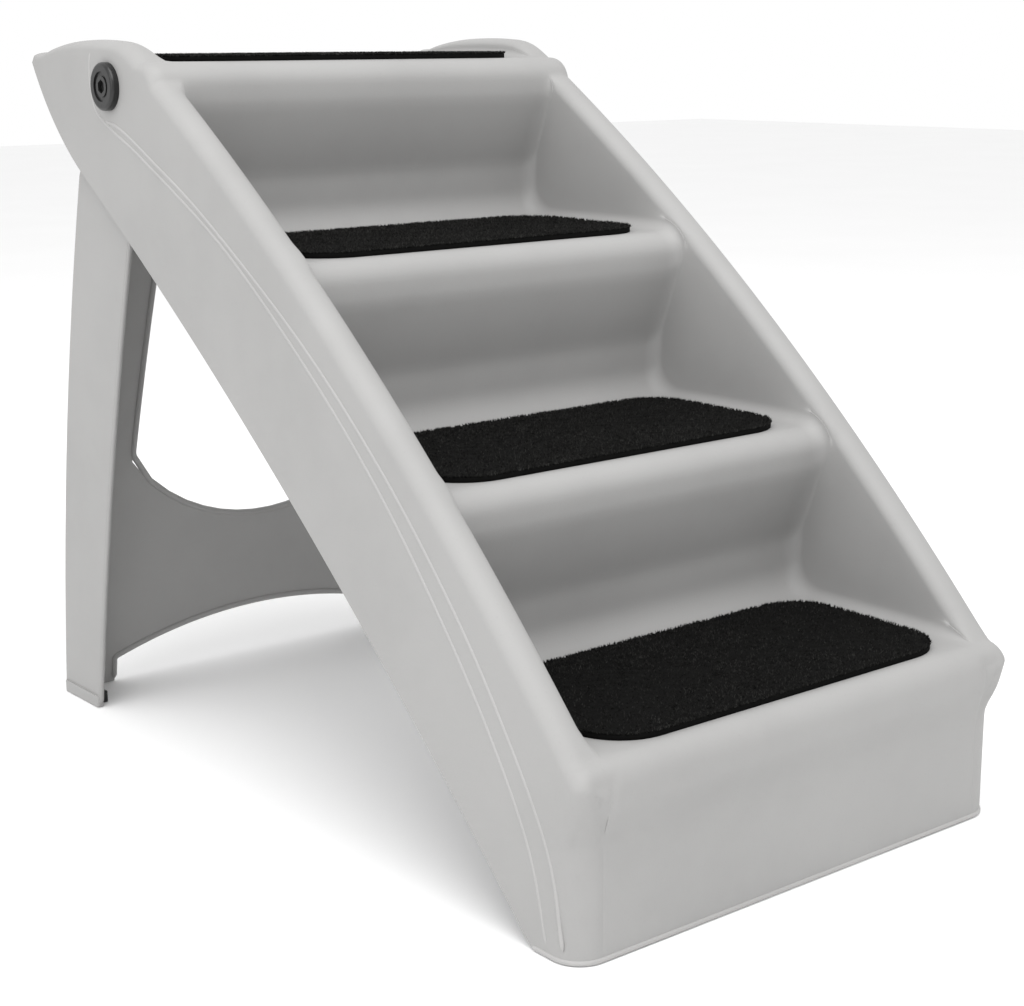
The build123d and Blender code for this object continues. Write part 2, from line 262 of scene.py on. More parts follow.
def volume(points, faces):
    """Signed volume inside a closed mesh, as tetrahedra from the origin to its triangles or quads."""
    a, b, c = (points[faces[:, i]] for i in (0, 1, 2))
    total = np.einsum("ij,ij->i", a, np.cross(b, c)).sum()
    if faces.shape[1] == 4:
        a, b, c = (points[faces[:, i]] for i in (0, 2, 3))
        total += np.einsum("ij,ij->i", a, np.cross(b, c)).sum()
    return total / 6


def outward(points, faces):
    """The faces of a closed mesh, all turned over if they look inwards."""
    return faces if volume(points, faces) > 0 else faces[:, ::-1]


def build(name, points, faces, material, body, slot, sharp=35.0, attributes=None):
    """A closed mesh from points in millimetres, turned to face outwards, that rides on a body."""
    faces = outward(points, faces)
    if not np.isfinite(points).all():
        raise RuntimeError(f"{name} has a point that isn't a number")
    placed = (points + np.array([0.0, FRONT_Y, 0.0])) / 1000.0
    mesh = bpy.data.meshes.new(name)
    mesh.vertices.add(len(placed))
    mesh.vertices.foreach_set("co", placed.astype(np.float32).ravel())
    size = faces.shape[1]
    mesh.loops.add(faces.size)
    mesh.loops.foreach_set("vertex_index", faces.astype(np.int32).ravel())
    mesh.polygons.add(len(faces))
    mesh.polygons.foreach_set("loop_start", np.arange(0, faces.size, size, dtype=np.int32))
    mesh.update(calc_edges=True)
    mesh.validate()
    mesh.polygons.foreach_set("use_smooth", np.ones(len(mesh.polygons), bool))
    for key, values in (attributes or {}).items():
        layer = mesh.attributes.new(key, "FLOAT", "POINT")
        layer.data.foreach_set("value", np.asarray(values, np.float32))
    mesh.set_sharp_from_angle(angle=math.radians(sharp))
    mesh.materials.append(material)
    piece = bpy.data.objects.new(name, mesh)
    bpy.context.scene.collection.objects.link(piece)
    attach(piece, body)
    return piece


def thick_sheet(points, thick):
    """Closed mesh of a grid surface given thickness behind it, along its own normals.

    points is rows by columns by 3; thick is a number or one per row. The rim joins the two skins all round.
    """
    rows, cols = points.shape[:2]
    across = np.gradient(points, axis=1)
    down = np.gradient(points, axis=0)
    normal = np.cross(across, down)
    normal /= np.maximum(np.linalg.norm(normal, axis=2, keepdims=True), 1e-9)
    if normal[rows // 2, cols // 2, 2] < 0:
        normal = -normal
    inner = points - normal * np.asarray(thick, float).reshape(-1, 1, 1)
    count = rows * cols
    ring = np.concatenate([np.arange(cols), np.arange(2 * cols - 1, count, cols),
                           np.arange(count - 2, count - cols - 1, -1), np.arange(count - 2 * cols, 0, -cols)])
    nxt = np.roll(ring, -1)
    rim = np.stack([ring, ring + count, nxt + count, nxt], 1)
    faces = np.vstack([quads(rows, cols), quads(rows, cols, count)[:, ::-1], rim])
    return np.vstack([points.reshape(-1, 3), inner.reshape(-1, 3)]), faces


def closed_rings(rings, first, last):
    """Triangles over rings of points, with a fan from each end ring to its own middle point."""
    rows, cols = rings.shape[:2]
    count = rows * cols
    sides = quads(rows, cols, wrap=True)
    low = np.arange(cols)
    high = low + count - cols
    first_fan = np.stack([np.roll(low, -1), low, np.full(cols, count)], 1)
    last_fan = np.stack([high, np.roll(high, -1), np.full(cols, count + 1)], 1)
    points = np.vstack([rings.reshape(-1, 3), first, last])
    return points, np.vstack([sides[:, [0, 1, 2]], sides[:, [0, 2, 3]], first_fan, last_fan])


def bead(path, radius, beside, around, ends):
    """Closed bead: a circle carried along a path and square to it.

    beside is a direction the path never takes. ends are shares of the radius, for the rings from each
    end inwards.
    """
    ahead = np.gradient(path, axis=0)
    ahead /= np.linalg.norm(ahead, axis=1, keepdims=True)
    aside = np.cross(ahead, beside)
    aside /= np.linalg.norm(aside, axis=1, keepdims=True)
    up = np.cross(aside, ahead)
    size = np.full(len(path), radius)
    for place, share in enumerate(ends):
        size[[place, -1 - place]] = share * radius
    t = np.linspace(0, 2 * math.pi, around, endpoint=False)
    ring = aside[:, None] * np.cos(t)[None, :, None] + up[:, None] * np.sin(t)[None, :, None]
    return closed_rings(path[:, None] + ring * size[:, None, None], path[0], path[-1])


def merged(parts):
    """Several closed (points, faces) of one face size as one, each facing outwards."""
    starts = np.cumsum([0] + [len(points) for points, _ in parts])
    faces = [outward(*part) + start for part, start in zip(parts, starts)]
    return np.vstack([points for points, _ in parts]), np.vstack(faces)


def plate(x, thick, y_top, z_top, y_low, z_low):
    """Closed upright plate between an upper and a lower line, standing at x."""
    rows = len(y_top)
    corner = np.zeros((rows, 4, 3))
    for i, (dx, y, z) in enumerate(((-0.5, y_top, z_top), (0.5, y_top, z_top), (0.5, y_low, z_low),
                                    (-0.5, y_low, z_low))):
        corner[:, i] = np.stack([np.full(rows, x + dx * thick), y, z], 1)
    ends = np.array([[3, 2, 1, 0], [0, 1, 2, 3]]) + np.array([[0], [4 * (rows - 1)]])
    return corner.reshape(-1, 3), np.vstack([quads(rows, 4, wrap=True), ends])


# ---- finishes -----------------------------------------------------------------------------------
class Value:
    """A socket that can be added to, taken from, multiplied and raised, each by a Math node."""

    def __init__(self, finish, socket):
        self.finish, self.socket = finish, socket

    def _math(self, operation, other, swap=False):
        pair = (other, self) if swap else (self, other)
        return self.finish.node("ShaderNodeMath", {0: pair[0], 1: pair[1]}, operation=operation)

    def __add__(self, other):
        return self._math("ADD", other)

    def __radd__(self, other):
        return self._math("ADD", other, True)

    def __sub__(self, other):
        return self._math("SUBTRACT", other)

    def __rsub__(self, other):
        return self._math("SUBTRACT", other, True)

    def __mul__(self, other):
        return self._math("MULTIPLY", other)

    def __rmul__(self, other):
        return self._math("MULTIPLY", other, True)

    def __pow__(self, other):
        return self._math("POWER", other)


class Finish:
    """One material: fixed values are set on its main shader, and varying ones are linked in."""

    def __init__(self, name, **fixed):
        self.material = bpy.data.materials.new(name)
        self.material.use_nodes = True
        self.tree = self.material.node_tree
        self.shader = self.tree.nodes["Principled BSDF"]
        for key, value in fixed.items():
            self.shader.inputs[key.replace("_", " ")].default_value = value

    def node(self, kind, inputs=None, output=0, **settings):
        made = self.tree.nodes.new(kind)
        for key, value in settings.items():
            setattr(made, key, value)
        for key, value in (inputs or {}).items():
            if isinstance(value, Value):
                self.tree.links.new(value.socket, made.inputs[key])
            else:
                made.inputs[key].default_value = value
        return Value(self, made.outputs[output])

    def where(self):
        return self.node("ShaderNodeTexCoord", output="Object")

    def noise(self, scale, detail=3.0, rough=0.5, vector=None):
        return self.node("ShaderNodeTexNoise", {"Vector": vector or self.where(), "Scale": scale,
                                                "Detail": detail, "Roughness": rough})

    def ramp(self, factor, low, high):
        """Spreads a factor between low and high to the full range from 0 to 1."""
        return self.node("ShaderNodeMapRange", {"Value": factor, "From Min": low, "From Max": high},
                         interpolation_type="SMOOTHSTEP")

    def mix(self, factor, a, b):
        """A colour between a and b; the Mix node's colour sockets are 6 and 7 in and 2 out."""
        a, b = (value if isinstance(value, Value) else (*value, 1.0) for value in (a, b))
        return self.node("ShaderNodeMix", {0: factor, 6: a, 7: b}, 2, data_type="RGBA")

    def bump(self, height, strength, distance):
        self.drive("Normal", self.node("ShaderNodeBump", {"Height": height, "Strength": strength,
                                                           "Distance": distance}))

    def drive(self, socket, value):
        self.tree.links.new(value.socket, self.shader.inputs[socket])


def shade(base, k):
    """The colour made k times as bright."""
    return tuple(min(1.0, k * c) for c in base)


def moulded_plastic(name, base):
    """Matt moulded plastic: fine grain, faint cloudy tone, and a little dust as dark specks."""
    f = Finish(name, Specular_IOR_Level=0.42)
    where = f.where()
    cloud = f.noise(7.0, 4.0, 0.55, where)
    flow = f.noise(38.0, 3.0, 0.6, where)
    grain = f.noise(1100.0, 2.0, 0.6, where)
    speck = f.ramp(f.noise(620.0, 1.0, 0.4, where), 0.62, 0.78)
    tone = f.mix(f.ramp(cloud, 0.35, 0.65), shade(base, 0.965), shade(base, 1.03))
    tone = f.mix(f.ramp(flow, 0.3, 0.7) * 0.3, tone, shade(base, 1.05))
    tone = f.mix(speck * 0.10, tone, shade(base, 0.72))
    f.drive("Base Color", tone)
    f.drive("Roughness", 0.50 + 0.10 * grain + 0.05 * cloud)
    f.bump(grain + 0.35 * flow, 0.16, 0.0005)
    return f.material


def pile_finish(name, base):
    """Cut pile: each tuft has its own tone, and the tips are painted paler than the roots, a painted sheen on
    the tips.
    """
    f = Finish(name, Specular_IOR_Level=0.06)
    tuft = f.node("ShaderNodeAttribute", output="Fac", attribute_name="tuft")
    tip = f.node("ShaderNodeAttribute", output="Fac", attribute_name="tip")
    patch = f.noise(26.0, 3.0, 0.6)
    tone = f.mix(tuft ** 3.0, shade(base, 0.30), shade(base, 4.6))
    # Painted sheen: the tips are mixed towards a paler copy of the pile colour.
    tone = f.mix(tip * 0.22, tone, shade(base, 4.0))
    tone = f.mix(f.ramp(patch, 0.35, 0.65) * 0.35, tone, shade(base, 0.6))
    f.drive("Base Color", tone)
    f.drive("Roughness", 0.86 + 0.10 * tuft)
    f.bump(f.noise(1500.0, 2.0), 0.4, 0.0006)
    return f.material


def dark_plastic(name, base, rough=0.36):
    """Satin plastic with a faint cloudy tone and a fine grain."""
    f = Finish(name, Specular_IOR_Level=0.5)
    grain = f.noise(900.0, 3.0)
    cloud = f.noise(60.0, 3.0)
    f.drive("Base Color", f.mix(f.ramp(cloud, 0.35, 0.7), shade(base, 0.8), shade(base, 1.7)))
    f.drive("Roughness", rough + 0.14 * grain + 0.08 * cloud)
    f.bump(grain, 0.12, 0.0004)
    return f.material


def rubber(name, base):
    """Dull rubber with a dusty bloom."""
    f = Finish(name, Specular_IOR_Level=0.3)
    dust = f.ramp(f.noise(140.0, 4.0, 0.65), 0.5, 0.75)
    f.drive("Base Color", f.mix(dust * 0.4, base, shade(base, 3.5)))
    f.drive("Roughness", 0.75 + 0.18 * dust)
    f.bump(f.noise(500.0, 3.0), 0.25, 0.0006)
    return f.material


def plated_steel(name, base):
    """Zinc plate with fine scratches and cloudy spangle."""
    f = Finish(name, Metallic=1.0)
    spangle = f.noise(240.0, 2.0)
    f.drive("Base Color", f.mix(f.ramp(spangle, 0.3, 0.7), shade(base, 0.85), shade(base, 1.15)))
    f.drive("Roughness", 0.28 + 0.2 * spangle)
    f.bump(f.noise(1600.0, 2.0), 0.08, 0.0003)
    return f.material


FINISHES = {}


def finish(key):
    """The material of that name, made on first use."""
    c = bpy.context.scene.pet_steps_finish
    makers = {
        "shell": lambda: moulded_plastic("moulded_grey_plastic", tuple(c.shell)),
        "pile": lambda: pile_finish("black_cut_pile", tuple(c.pile)),
        # edge: the moulding colour made 1.16 times as bright, a painted highlight on the raised side lines
        # and the floor lip
        "edge": lambda: moulded_plastic("moulded_grey_painted_highlight", shade(tuple(c.shell), 1.16)),
        "cap": lambda: dark_plastic("black_bolt_plastic", tuple(c.cap), 0.22),
        "washer": lambda: dark_plastic("pale_washer_plastic", (0.45, 0.45, 0.43), 0.3),
        "rubber": lambda: rubber("foot_rubber", tuple(c.rubber)),
        "steel": lambda: plated_steel("zinc_plated_steel", tuple(c.steel)),
    }
    if key not in FINISHES:
        FINISHES[key] = makers[key]()
    return FINISHES[key]


# ---- pieces -------------------------------------------------------------------------------------
class PETSTEPS_OT_shell(bpy.types.Operator):
    """Moulded stair: treads, risers, coves, rails and outer sides as one skin with thickness"""

    bl_idname = "pet_steps.shell"
    bl_label = "Moulded stair"

    def execute(self, context):
        """Carries a cross-section up the slope.

        Each row stands square to the slope at one u. From the middle outwards its columns are the flat
        tread, a cove quarter-round up the rail, the rail's inner wall, a half-round ridge and the outer side
        down to the lower line. Points are steps + (ridge - steps) times a share, or ridge + (lower line -
        ridge) times a share.
        """
        s = context.scene.pet_steps_stair
        tip_u = Slope(s.run, s.rise).uh(*TIP)[0]
        u = np.concatenate([[0.6, 1.6, 3.0], np.arange(5.0, tip_u - 4, 2.3),
                            tip_u - np.array([3.2, 2.2, 1.3, 0.6])])
        slope, step_u, step_h, ridge_h, low_h = rail_lines(s, u)
        step = np.stack(slope.yz(step_u, step_h), 1)
        ridge = np.stack(slope.yz(u, ridge_h), 1)
        low = np.stack(slope.yz(u, low_h), 1)
        inner, cove, top, draft = HALF - mm(s.rail), mm(s.cove), mm(s.ridge), 0.8
        rise = np.maximum(np.linalg.norm(ridge - step, axis=1), cove + top)[:, None]
        drop = np.maximum(np.linalg.norm(ridge - low, axis=1), 2.4 * top)[:, None]
        turn = np.linspace(0, math.pi / 2, 10)
        flat_x = np.linspace(0, inner - cove, 13)
        cove_x = inner - cove + cove * np.sin(turn[1:])
        cove_share = cove * (1 - np.cos(turn[1:]))[None] / rise
        wall_t = np.linspace(0, 1, 8)[1:]
        wall_x = inner + draft * wall_t
        wall_share = cove / rise + (1 - (cove + top) / rise) * wall_t[None]
        mid, reach = 0.5 * (inner + draft + HALF), 0.5 * (HALF - inner - draft)
        over_x = mid - reach * np.cos(turn[1:])
        over_share = 1 - top * (1 - np.sin(turn[1:]))[None] / rise
        out_x = mid + reach * np.sin(turn[1:])
        out_share = top * (1 - np.cos(turn[1:]))[None] / drop
        side_t = np.linspace(0, 1, 11)[1:]
        side_x = np.full(len(side_t), HALF)
        side_share = top / drop + (1 - top / drop) * side_t[None]
        rows = len(u)
        x = np.concatenate([flat_x, cove_x, wall_x, over_x, out_x, side_x])
        up = np.concatenate([np.zeros((rows, len(flat_x))), cove_share, wall_share, over_share,
                             np.ones((rows, len(out_x) + len(side_x)))], 1)
        down = np.concatenate([np.zeros((rows, len(x) - len(out_x) - len(side_x))), out_share, side_share], 1)
        climb, fall = (ridge - step)[:, None], (low - ridge)[:, None]
        yz = step[:, None] + climb * up[..., None] + fall * down[..., None]
        half = np.concatenate([np.broadcast_to(x[None, :, None], (rows, len(x), 1)), yz], 2)
        half = nosing_bulge(nosing_end(round_front_corner(half)))
        other = half[:, :0:-1] * np.array([-1.0, 1.0, 1.0])
        grid = np.concatenate([other, half], 1)
        thin_below = 22.0
        thick = mm(s.wall) * np.clip(np.linalg.norm(ridge - low, axis=1) / thin_below, 0.12, 1)
        points, faces = thick_sheet(grid, thick)
        piece = build("moulded_stair", points, faces, finish("shell"), STAIR, "shell_plastic", 50)
        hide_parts("stair_body")
        return {"FINISHED"}


class PETSTEPS_OT_under(bpy.types.Operator):
    """Moulding behind the skin: inner rail walls, webs under the treads, leg stops and the back lip"""

    bl_idname = "pet_steps.under"
    bl_label = "Walls and webs under the stair"

    def execute(self, context):
        """Plates between two lines: the underside of the steps, and the lower line lifted a little."""
        s = context.scene.pet_steps_stair
        inner = HALF - mm(s.rail)
        wall = inner + 1.6
        wall_end, web_end = 742.0, 640.0
        u = np.arange(38.0, wall_end, 4.0)
        slope, _, step_h, _, low_h = rail_lines(s, u)
        top = step_h - 2.2
        parts = []
        for x, thick, lift, end in ((wall, 3.4, 10.5, wall_end), (-wall, 3.4, 10.5, wall_end),
                                    (0, 3, 14, web_end), (100, 3, 14, web_end), (-100, 3, 14, web_end)):
            keep = u < end
            low = np.minimum(low_h + lift, top - 1.0)
            parts.append(plate(x, thick, *slope.yz(u[keep], top[keep]), *slope.yz(u[keep], low[keep])))
        stop_y, stop_z = np.array([554.4, 560.4]), np.array([464.7, 454.3])
        for side in (-1, 1):
            parts.append(plate(side * (HALF - 12.0), 14.5, stop_y + 12.1, stop_z + 7.0, stop_y, stop_z))
        build("under_webs", *merged(parts), finish("shell"), STAIR, "shell_plastic", 30)
        lip = rounded([(612.0, 506.2), (626.5, 506.2), (619.0, 483.0)], [8.0], 1.2)
        x = np.linspace(-inner - 1, inner + 1, 9)
        rows = np.stack(np.broadcast_arrays(x[None, :], lip[:, :1], lip[:, 1:]), -1)
        points, faces = thick_sheet(rows + np.array([0.0, 1.8, 1.8]), 3.4)
        build("back_lip", points, faces, finish("shell"), STAIR, "shell_plastic", 50)
        return {"FINISHED"}


class PETSTEPS_OT_lines(bpy.types.Operator):
    """Raised lines moulded on the outer sides, and the lip round the floor edge"""

    bl_idname = "pet_steps.lines"
    bl_label = "Raised lines and floor lip"

    def execute(self, context):
        """Thin beads along smooth curves that follow the rail and turn up behind the pivot."""
        s = context.scene.pet_steps_stair
        back = [(26, 6), (42, 63), (80, 126.5), (129, 189), (188, 253), (263, 318), (360, 387), (465, 441),
                (506, 459), (530, 472), (538, 487), (539, 503), (536, 517)]
        front = [(12, 8), (26, 69), (75, 146), (126, 208), (190, 271), (272, 336), (382, 405), (455, 442),
                 (496, 461), (520, 467)]
        sunk = 0.85
        parts = []
        for side in (-1, 1):
            for line in (back, front):
                path = smooth_through(line, 260)
                path = np.column_stack([np.full(len(path), side * (HALF - sunk)), path])
                parts.append(bead(path, mm(s.line), (1.0, 0.0, 0.0), 8, (0.02, 0.7)))
        # The raised lines take the paler edge material, a painted highlight for the light they catch.
        build("side_lines", *merged(parts), finish("edge"), STAIR, "shell_plastic", 60)
        side, lip_end, lip_deep, lip_tall = HALF - 0.2, 38.0, 1.1, 1.7
        plan = rounded([(-side, lip_end), (-side, 0.0), (side, 0.0), (side, lip_end)], [CORNER, CORNER], 3.0)
        path = np.column_stack([plan, np.full(len(plan), lip_tall)])
        ahead = np.gradient(path, axis=0)
        ahead /= np.linalg.norm(ahead, axis=1, keepdims=True)
        out = lip_deep * np.cross(ahead, (0.0, 0.0, 1.0))
        t = np.linspace(0, 2 * math.pi, 12, endpoint=False)[:, None]
        rings = path[:, None] + out[:, None] * np.cos(t) + np.array([0, 0, lip_tall]) * np.sin(t)
        points, faces = closed_rings(rings, path[0], path[-1])
        # The floor lip takes the same paler edge material, a painted highlight.
        build("floor_lip", points, faces, finish("edge"), STAIR, "shell_plastic", 40)
        return {"FINISHED"}


def round_front_corner(points):
    """Pulls what stands outside a quarter-round in plan onto it, along the upright edge of the front face.

    The quarter-round's centre is a radius in from the side and from the face; it fades out above the nosing.
    """
    x, y, z = points[..., 0], points[..., 1], points[..., 2]
    r = CORNER * (1 - 0.72 * smoothstep(92, 124, z)) + 1e-6
    face = -NOSE * smoothstep(72, 98, z)
    dx, dy = x - (HALF - r), (face + r) - y
    far = np.hypot(dx, dy)
    pull = np.where((dx > 0) & (dy > 0) & (far > r) & (z < 150), r / np.maximum(far, 1e-6), 1.0)
    fade = 1 - smoothstep(118, 150, z)
    pull = 1 + (pull - 1) * fade
    out = points.copy()
    out[..., 0] = np.where(dx > 0, HALF - r + dx * pull, x)
    out[..., 1] = np.where((dx > 0) & (dy > 0), face + r - dy * pull, y)
    return out


def nosing_end(points):
    """Presses in a small wedge below each end of the lowest nosing, and a fine crease down from its tip."""
    x, y, z = points[..., 0], points[..., 1], points[..., 2]
    wide = 1.5 + 9.5 * np.clip((z - 72) / 44, 0, 1)
    off = np.abs(x - 170.5)
    between = smoothstep(68, 80, z) * (1 - smoothstep(110, 121, z))
    wedge = (1 - smoothstep(wide - 5.0, wide + 2.5, off)) * between
    crease = np.exp(-((x - 169.0) / 1.7) ** 2) * smoothstep(2, 10, z) * (1 - smoothstep(66, 76, z))
    out = points.copy()
    out[..., 1] += np.where(y < 22, 2.0 * wedge + 0.6 * crease, 0)
    return out


def nosing_bulge(points):
    """Swells the sides out beside the lowest nosing by a bell curve in y and z."""
    x, y, z = points[..., 0], points[..., 1], points[..., 2]
    out = points.copy()
    out[..., 0] += 3.6 * np.exp(-((z - 103) / 19) ** 2 - ((y + 4) / 20) ** 2) * smoothstep(120, 186, x)
    return out


def mat_outline(m):
    """Rounded rectangle of a mat seen from above, its front edge at y = 0."""
    w, d = mm(m.half_width), mm(m.depth)
    points = [(0, 0), (w, 0), (w, d), (-w, d), (-w, 0), (0, 0)]
    radii = [mm(m.front_corner), mm(m.back_corner), mm(m.back_corner), mm(m.front_corner)]
    return even(rounded(points, radii, 1.0), 241)[:-1]


class PETSTEPS_OT_mats(bpy.types.Operator):
    """Mats: a bumpy backing slab with thousands of short tufts on each tread"""

    bl_idname = "pet_steps.mats"
    bl_label = "Tread mats"

    def execute(self, context):
        """Backing: the outline shrunk to its middle ring by ring, first below and then above.

        Tufts: three-sided spikes at random places, leaning at random and outwards along the edge.
        """
        s, m = context.scene.pet_steps_stair, context.scene.pet_steps_mat
        edge = mat_outline(m)
        middle = np.array([0.0, mm(m.depth) / 2])
        below, above, under_rings, over_rings = -0.6, 4.0, 10, 34
        shares = np.concatenate([np.linspace(0.002, 0.996, under_rings), [1.0, 1.0, 0.994],
                                 np.linspace(0.98, 0.002, over_rings)])
        height = np.concatenate([np.full(under_rings, below), [-0.4, 3.2, 3.8], np.full(over_rings, above)])
        for i in range(s.treads):
            ground = mm(s.first + s.rise * i)
            front = 10.0 + mm(s.run) * i
            plan = middle + (edge - middle)[None] * shares[:, None, None]
            x, y = plan[..., 0], plan[..., 1]
            rough = 0.28 * np.sin(x / 3.1 + 2 * np.sin(y / 7.3 + i)) * np.sin(y / 2.7 + 1.7 * np.sin(x / 9.1))
            z = ground + height[:, None] + np.where(height[:, None] == above, rough, 0)
            heart = np.array([0.0, middle[1] + front, ground])
            rings = np.stack([x, y + front, z], -1)
            base, faces = closed_rings(rings, heart + (0, 0, below), heart + (0, 0, above))
            tufts, tuft_faces, tip = self.tufts(m, edge, middle, front, ground)
            points, faces = merged([(base, faces), (tufts, tuft_faces)])
            tone = np.concatenate([np.full(len(base), 0.3), np.repeat(rng.random(len(tufts) // 4), 4)])
            # tip is 1 at the spike tops, where the pile finish paints its sheen.
            tip = np.concatenate([np.zeros(len(base)), tip])
            piece = build(f"tread_pile_{i + 1}", points, faces, finish("pile"), STAIR, "mat_pile", 180,
                          {"tuft": tone, "tip": tip})
            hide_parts(f"tread_mat_{i + 1}")
        return {"FINISHED"}

    @staticmethod
    def tufts(m, edge, middle, front, ground):
        """Spikes: a triangle on the backing and a leaning point above. Gives points, faces and 1 at tips."""
        count, rim_share, root_z = m.tufts, 0.10, ground + 3.5
        pick = rng.integers(0, len(edge), count)
        share = np.sqrt(rng.random(count))
        rim = rng.random(count) < rim_share
        share = np.where(rim, 1.0 - 0.004 * rng.random(count), share)
        nxt = (pick + 1) % len(edge)
        mixed = edge[pick] + (edge[nxt] - edge[pick]) * rng.random(count)[:, None]
        root = middle + (mixed - middle) * share[:, None]
        out = (mixed - middle) / np.linalg.norm(mixed - middle, axis=1, keepdims=True)
        lean = rng.normal(0, 0.75, (count, 2)) + out * np.where(rim, 0.35, 0.0)[:, None]
        tall = mm(m.pile) * (0.65 + 0.5 * rng.random(count))
        wide = 0.42 + 0.30 * rng.random(count)
        turn = rng.random(count) * 2 * math.pi
        corners = []
        for a in (turn + k * 2 * math.pi / 3 for k in range(3)):
            corners.append(np.stack([root[:, 0] + wide * np.cos(a), root[:, 1] + wide * np.sin(a) + front,
                                     np.full(count, root_z)], 1))
        top = np.stack([root[:, 0] + lean[:, 0], root[:, 1] + lean[:, 1] + front, root_z + tall], 1)
        points = np.stack(corners + [top], 1).reshape(-1, 3)
        start = 4 * np.arange(count)[:, None, None]
        faces = (np.array([[0, 1, 3], [1, 2, 3], [2, 0, 3], [2, 1, 0]])[None] + start).reshape(-1, 3)
        tip = np.tile([0.0, 0.0, 0.0, 1.0], count)
        return points, faces, tip


class PETSTEPS_OT_legs(bpy.types.Operator):
    """Rolled rims on the leg frame: round the window and the foot arch, and down the front of both flanges"""

    bl_idname = "pet_steps.legs"
    bl_label = "Leg frame rims"
    BESIDE = (0.0, 1.0, 0.15)

    def execute(self, context):
        """Beads along the edges of the curved plate, and a lip of shrinking outlines round each foot.

        Each bead point's y comes from the leg's back or front arc at its height.
        """
        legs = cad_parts["leg_frame"]
        legs.data.materials.clear()
        legs.data.materials.append(finish("shell"))
        back = arc_y((655.5, 0.0), (635.0, 166.0), (577.0, 425.0))
        front = arc_y((598.5, 0.0), (562.0, 179.0), (506.0, 382.0))
        parts = []
        for line in (self.window(), self.arch()):
            path = np.stack([line[:, 0], back(line[:, 1]) - 3.4, line[:, 1]], 1)
            parts.append(bead(path, 2.6, self.BESIDE, 10, (0.3,)))
        outer = 1000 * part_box("leg_frame")[1][0]
        z = np.linspace(2.4, 396.0, 126)
        for side in (-1, 1):
            path = np.stack([np.full(len(z), side * (outer - 2.1)), front(z), z], 1)
            parts.append(bead(path, 2.05, self.BESIDE, 10, (0.3,)))
        build("leg_rims", *merged(parts), finish("shell"), LEGS, "shell_plastic", 60)
        feet = []
        for side in (-1, 1):
            x0, x1, y0, y1 = side * (outer - 3.0), side * (outer + 1.5), 597.4, 654.4
            plan = rounded([(x0, y0), (x1, y0), (x1, y1), (x0, y1), (x0, y0)], [1.5, 1.5, 1.5], 1.0)[:-1]
            level = np.array([0.0, 0.6, 8.6, 9.4])[:, None, None]
            share = np.array([0.985, 1.0, 1.0, 0.975])[:, None, None]
            heart = plan.mean(0)
            around = heart + (plan - heart)[None] * share
            rings = np.concatenate([around, np.broadcast_to(level, around.shape[:2] + (1,))], 2)
            feet.append(closed_rings(rings, (*heart, 0.0), (*heart, 9.4)))
        build("leg_foot_lips", *merged(feet), finish("shell"), LEGS, "shell_plastic", 40)
        return {"FINISHED"}

    @staticmethod
    def window():
        """x and z round the leg's window: straight sides that lean in, and an arc below."""
        half, bottom, sag = 127.0, 128.0, 62.0
        radius = (half ** 2 + sag ** 2) / (2 * sag)
        x = np.linspace(-half, half, 61)
        bowl = np.stack([x, bottom + radius - np.sqrt(radius ** 2 - x ** 2)], 1)
        corners = [(-113.2, 371.0), (-126.5, 196.0), *bowl[4:-4:4], (126.5, 196.0), (113.2, 371.0)]
        return rounded(corners, [9.0] + [0] * 14 + [9.0], 3.0)

    @staticmethod
    def arch():
        """x and z over the foot arch: a short upright at each end of a shallow arc."""
        half, crown, sag = 142.0, 46.0, 25.0
        radius = (half ** 2 + sag ** 2) / (2 * sag)
        x = np.linspace(-141.5, 141.5, 60)
        arc = np.stack([x, crown - radius + np.sqrt(radius ** 2 - x ** 2)], 1)
        return even(np.vstack([[(-142.5, 1.6)], arc, [(142.5, 1.6)]]), 90)


def arc_y(low, middle, high):
    """y as a function of z on the circle through three points."""
    (y1, z1), (y2, z2), (y3, z3) = low, middle, high
    a = np.array([[2 * (y2 - y1), 2 * (z2 - z1)], [2 * (y3 - y1), 2 * (z3 - z1)]])
    b = np.array([y2 ** 2 + z2 ** 2 - y1 ** 2 - z1 ** 2, y3 ** 2 + z3 ** 2 - y1 ** 2 - z1 ** 2])
    cy, cz = np.linalg.solve(a, b)
    radius = math.hypot(y1 - cy, z1 - cz)
    side = 1 if y2 > cy else -1
    return lambda z: cy + side * np.sqrt(np.maximum(radius ** 2 - (z - cz) ** 2, 0))


class PETSTEPS_OT_fittings(bpy.types.Operator):
    """Finishes of the pivot bolts, washers, nuts, adhesive films and feet"""

    bl_idname = "pet_steps.fittings"
    bl_label = "Bolts, nuts and feet"

    def execute(self, context):
        """Gives each small part its material."""
        finish_of = {"bolt": "cap", "washer": "washer", "nut": "steel", "foot": "rubber",
                     "adhesive": "rubber"}
        for name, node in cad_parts.items():
            key = next((key for word, key in finish_of.items() if word in name), None)
            if key:
                node.data.materials.clear()
                node.data.materials.append(finish(key))
        return {"FINISHED"}


